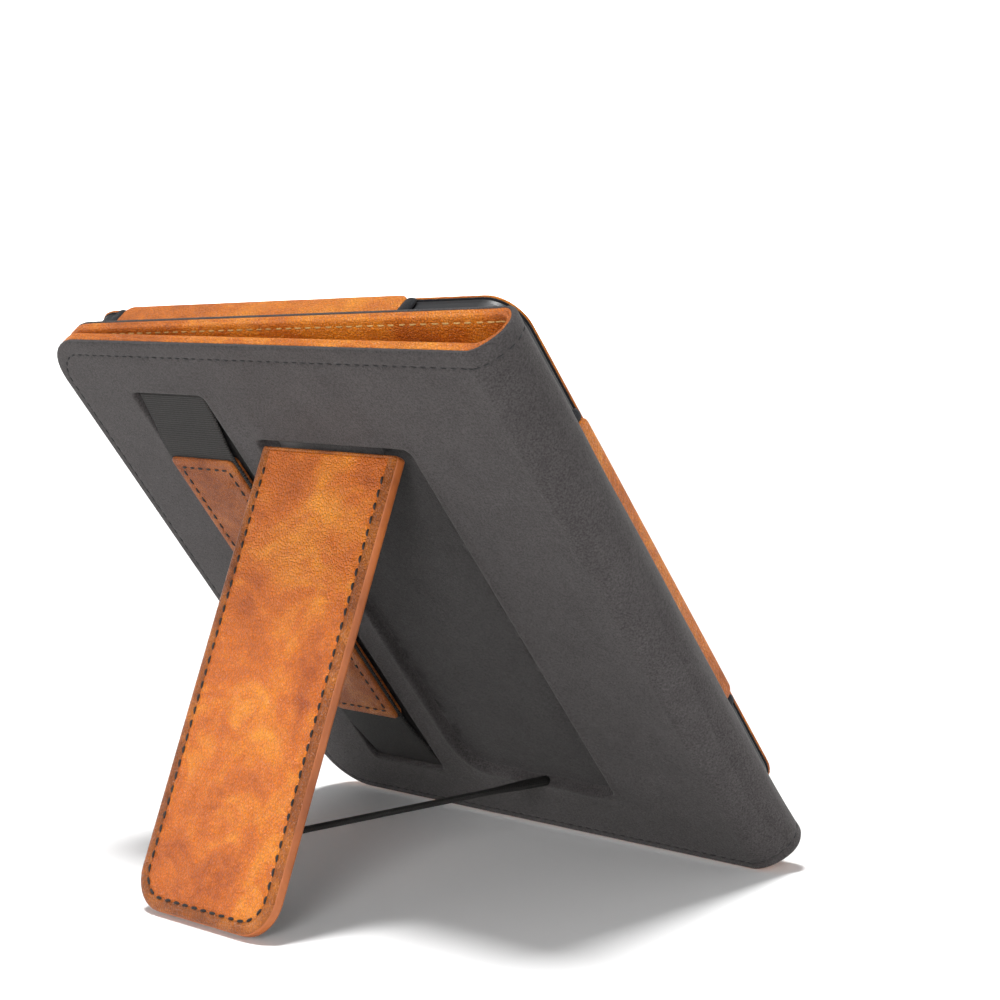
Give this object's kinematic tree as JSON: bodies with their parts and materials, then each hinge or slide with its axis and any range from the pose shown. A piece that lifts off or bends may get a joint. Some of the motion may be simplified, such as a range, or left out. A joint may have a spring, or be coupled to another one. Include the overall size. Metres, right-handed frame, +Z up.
{
  "type": "e-reader in a folio stand case",
  "caption": "E-reader in a tan leather folio with its cover folded round behind it, leaning back on the cover's own swing-out kickstand, with an elastic hand strap and page buttons.",
  "frame": {"origin": "on the table, under the middle of the whole object's box, with the kickstand open", "axes": "+Z up; +X along the cover's lower edge from the spine to the free edge; +Y backwards, from the screen's side to the kickstand's side"},
  "size_m": [0.1618, 0.1451, 0.1442],
  "materials": {
    "tan_leather": "pull-up leather, mottled cognac",
    "painted_edge": "smooth painted edge",
    "grey_lining": "microfibre suede, charcoal grey",
    "black_elastic": "woven elastic",
    "black_ribbon": "woven ribbon",
    "case_board": "grey board",
    "magnet": "nickel plated",
    "black_housing": "fine matt black",
    "black_bezel": "fine matt black",
    "screen_paper": "electronic paper, pale grey",
    "light_film": "clear film",
    "screen_glass": "etched glass",
    "frame_metal": "cast, bead blasted",
    "board_green": "solder mask",
    "steel": "satin",
    "cell": "foil wrapped cell"
  },
  "bodies": {
    "reader": {"tray_leather": "tan_leather", "tray_board": "case_board", "tray_magnets": "magnet", "tray_lining": "grey_lining", "sleeve_frame": "tan_leather", "sleeve_wall_top": "tan_leather", "sleeve_wall_bottom": "tan_leather", "sleeve_wall_spine_side": "tan_leather", "sleeve_wall_free_side": "tan_leather", "rear_housing": "black_housing", "battery": "cell", "logic_board": "board_green", "board_shield": "steel", "usb_port": "steel", "mid_frame": "frame_metal", "housing_screws": "steel", "display_panel": "screen_paper", "light_guide": "light_film", "cover_lens": "screen_glass", "front_bezel": "black_bezel", "page_switch_board": "board_green", "page_switches": "steel", "power_switch": "black_housing"},
    "page_button_lower": {"page_button_lower": "black_housing"},
    "page_button_upper": {"page_button_upper": "black_housing"},
    "power_button": {"power_button": "black_housing"},
    "spine_tray_slat": {"spine_leather_tray": "tan_leather", "spine_lining_tray": "grey_lining"},
    "spine_back_slat": {"spine_leather_back": "tan_leather", "spine_lining_back": "grey_lining"},
    "spine_cover_slat": {"spine_leather_cover": "tan_leather", "spine_lining_cover": "grey_lining"},
    "cover": {"cover_leather": "tan_leather", "cover_board": "case_board", "cover_magnets": "magnet", "cover_lining": "grey_lining", "stand_hinge_tape": "black_ribbon", "strap_elastic": "black_elastic", "strap_grip_outer": "tan_leather", "strap_grip_inner": "tan_leather", "stand_tether": "black_ribbon"},
    "kickstand": {"kickstand_leather": "tan_leather", "kickstand_board": "case_board", "kickstand_lining": "grey_lining", "kickstand_edge_band": "painted_edge"}
  },
  "joints": [
    {"name": "tray_crease", "type": "hinge", "parent": "reader", "child": "spine_tray_slat", "pos_m": [-0.07008, -0.06652, 0.00876], "axis": [0, 0.6225, 0.7826], "range_deg": [0, 39.34]},
    {"name": "cover_fold", "type": "hinge", "parent": "spine_tray_slat", "child": "spine_back_slat", "pos_m": [-0.0795, -0.06552, 0.00796], "axis": [0, 0.6225, 0.7826], "range_deg": [0, 143.97]},
    {"name": "spine_fold", "type": "hinge", "parent": "spine_back_slat", "child": "spine_cover_slat", "pos_m": [-0.0795, -0.05886, 0.00266], "axis": [0, 0.6225, 0.7826], "range_deg": [0, 143.98]},
    {"name": "cover_crease", "type": "hinge", "parent": "spine_cover_slat", "child": "cover", "pos_m": [-0.07008, -0.05786, 0.00187], "axis": [0, 0.6225, 0.7826], "range_deg": [0, 36.04]},
    {"name": "kickstand_fold", "type": "hinge", "parent": "cover", "child": "kickstand", "pos_m": [-0.00759, 0.02882, 0.10682], "axis": [-1, 0, 0], "range_deg": [0, 60.31], "deforming": ["stand_tether"]},
    {"name": "page_button_lower_press", "type": "slide", "parent": "reader", "child": "page_button_lower", "axis": [-0.0576, 0.7813, -0.6215], "range_m": [0, 0.0005], "stiffness_N_per_m": 600},
    {"name": "page_button_upper_press", "type": "slide", "parent": "reader", "child": "page_button_upper", "axis": [-0.0576, 0.7813, -0.6215], "range_m": [0, 0.0005], "stiffness_N_per_m": 600},
    {"name": "power_button_press", "type": "slide", "parent": "reader", "child": "power_button", "axis": [0, 0.6225, 0.7826], "range_m": [0, 0.0004], "stiffness_N_per_m": 600}
  ],
  "couplings": [
    {"joint": "tray_crease", "follows": "cover_fold", "ratio": 0.27316},
    {"joint": "spine_fold", "follows": "cover_fold", "ratio": 1},
    {"joint": "cover_crease", "follows": "cover_fold", "ratio": 0.25024},
    {"joint": "kickstand_fold", "follows": "cover_fold", "ratio": 0.41883}
  ]
}
